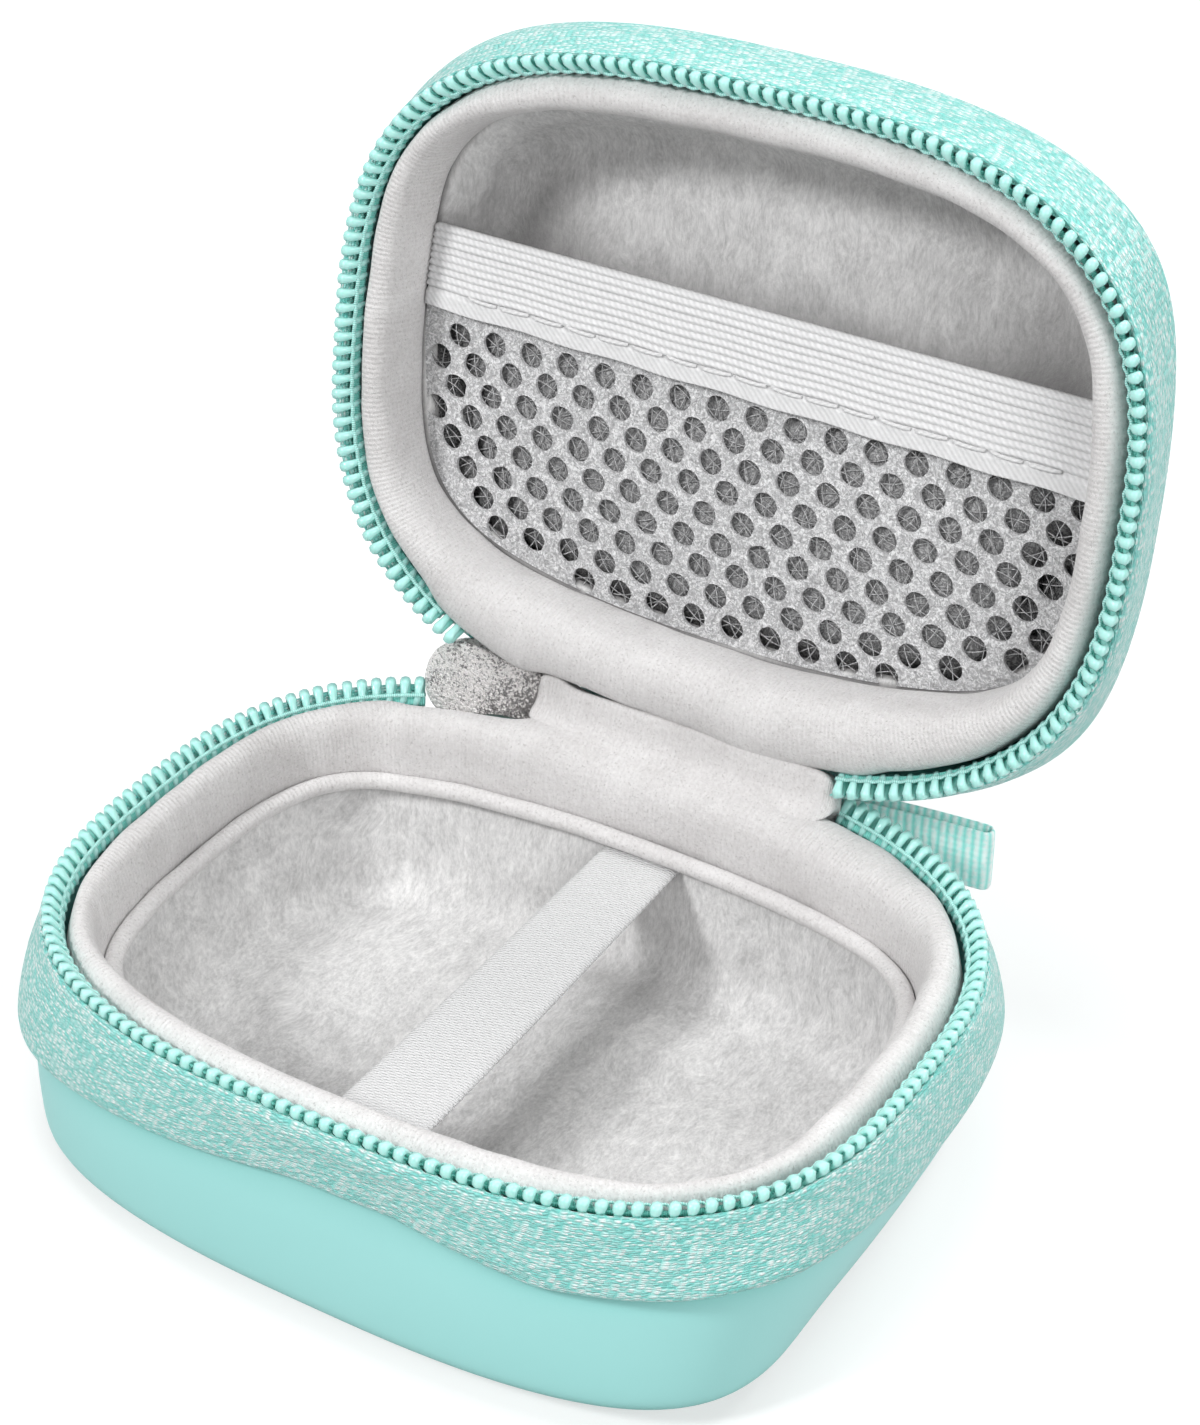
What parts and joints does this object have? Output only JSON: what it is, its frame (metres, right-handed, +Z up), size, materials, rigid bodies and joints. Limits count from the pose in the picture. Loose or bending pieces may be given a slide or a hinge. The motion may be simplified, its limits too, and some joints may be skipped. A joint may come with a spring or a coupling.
{
  "type": "zipped hard case for earbuds",
  "caption": "Small rounded hard case with a fabric-hinged lid, a zip round three sides, a padded grey lining, an elastic strap in the base and a net pocket in the lid; holds earbuds or coins.",
  "frame": {"origin": "centre of the flat bottom of the base, on the surface it stands on", "axes": "+X along the hinge, to the right seen from the front; +Y from the front to the hinge; +Z up"},
  "size_m": [0.089, 0.0931, 0.0916],
  "materials": {
    "shell_mint": "smooth matt moulded foam board with a film face",
    "tape_mint": "woven, with a glittering thread",
    "coil_mint": "translucent nylon",
    "plush_grey": "brushed knit over foam",
    "velour_grey": "short-pile velour",
    "piping_grey": "velour over a cord",
    "elastic_white": "woven elastic",
    "net_grey": "knitted mesh",
    "ribbon_mint": "shiny ribbed ribbon",
    "slider_metal": "bright cast metal with a pebbled face"
  },
  "bodies": {
    "base": {"base_shell": "shell_mint", "base_lining": "velour_grey", "base_rim_pad": "plush_grey", "base_piping": "piping_grey", "base_zip_tape": "tape_mint", "base_zip_teeth": "coil_mint", "elastic_strap": "elastic_white", "side_loop": "ribbon_mint", "hinge_outer": "tape_mint", "hinge_inner": "plush_grey", "zip_slider": "slider_metal", "slider_bridge": "slider_metal", "zip_tape_end": "tape_mint"},
    "lid": {"lid_shell": "shell_mint", "lid_lining": "velour_grey", "lid_rim_pad": "plush_grey", "lid_zip_tape": "tape_mint", "lid_zip_teeth": "coil_mint", "pocket_net": "net_grey", "pocket_elastic": "elastic_white"},
    "pull": {"pull_tab": "slider_metal"}
  },
  "joints": [
    {"name": "lid_hinge", "type": "hinge", "parent": "base", "child": "lid", "pos_m": [0, 0.0309, 0.0272], "axis": [1, 0, 0], "range_deg": [0, 100.5], "deforming": ["hinge_outer", "hinge_inner"]},
    {"name": "pull_swing", "type": "hinge", "parent": "base", "child": "pull", "pos_m": [-0.02369, 0.03422, 0.02278], "axis": [0.9703, 0.2419, 0], "range_deg": [-3, 60]}
  ]
}
